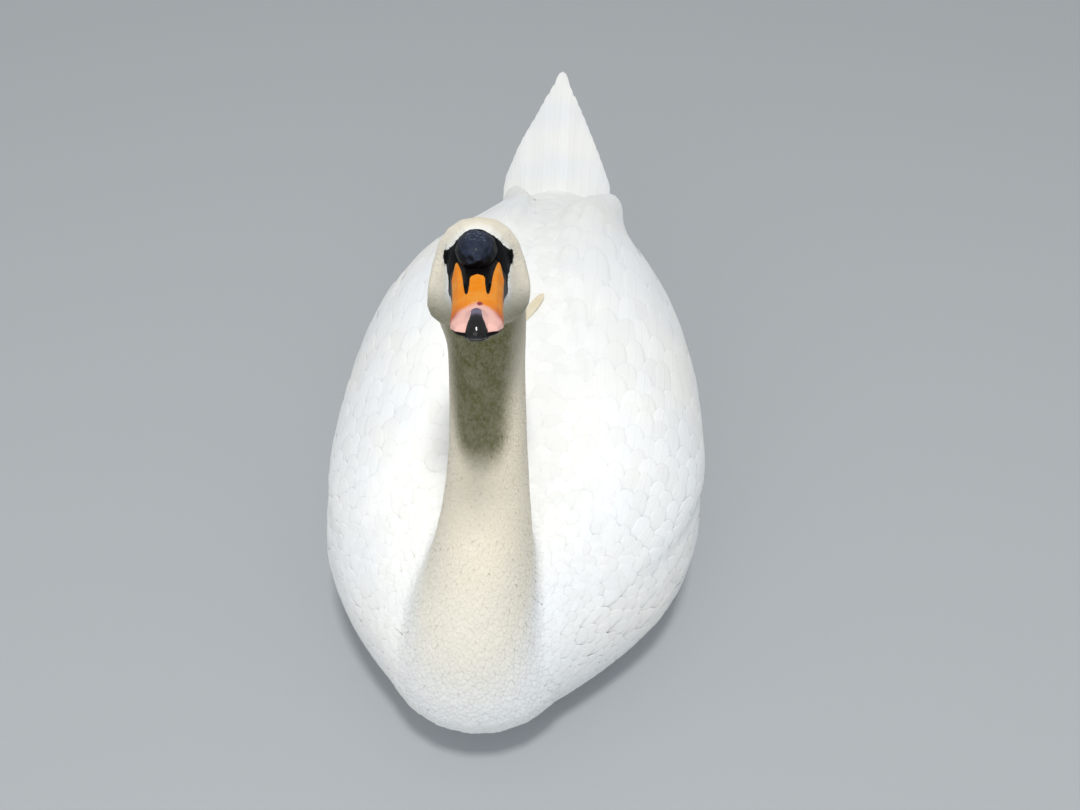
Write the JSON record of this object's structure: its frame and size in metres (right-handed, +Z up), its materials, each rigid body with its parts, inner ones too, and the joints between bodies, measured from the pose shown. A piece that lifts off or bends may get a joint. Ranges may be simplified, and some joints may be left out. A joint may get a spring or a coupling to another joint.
{
  "type": "mute swan",
  "caption": "Life-size still model of an adult mute swan afloat, neck raised, wings folded, orange bill lifted and turned slightly, feet tucked under the belly.",
  "frame": {"origin": "on the floor under the belly, at the middle of the outline seen from above", "axes": "+Z up, -Y towards the bill, +Y towards the tail, +X towards the bird's left side"},
  "size_m": [0.3688, 0.8714, 0.601],
  "materials": {
    "body_feathers": "soft matte white contour feathers",
    "neck_feathers": "velvety cream neck feathers",
    "head_feathers": "very short cream to buff head feathers",
    "flight_feathers": "long vaned white feathers",
    "bill_orange": "smooth satin horn, orange fading to pink at the tip, edged black",
    "bill_black": "smooth dark horn",
    "knob": "black dimpled fleshy knob, slightly wet",
    "eye": "wet dark brown eye",
    "foot_skin": "dark grey scaly webbed skin"
  },
  "bodies": {
    "root": {"head": "head_feathers", "knob": "knob", "bill_upper": "bill_orange", "bill_nail": "bill_black", "bill_lower": "bill_black", "eye_left": "eye", "eye_right": "eye", "breast": "neck_feathers", "neck_lower": "neck_feathers", "neck_middle": "neck_feathers", "neck_upper": "neck_feathers", "trunk_front": "body_feathers", "trunk_middle": "body_feathers", "rump": "body_feathers", "tail": "flight_feathers", "foot_left": "foot_skin", "foot_right": "foot_skin", "shank_left": "foot_skin", "shank_right": "foot_skin", "wing_left_coverts": "body_feathers", "wing_left_secondaries": "flight_feathers", "wing_left_primaries": "flight_feathers", "wing_right_coverts": "body_feathers", "wing_right_secondaries": "flight_feathers", "wing_right_primaries": "flight_feathers"}
  },
  "joints": []
}
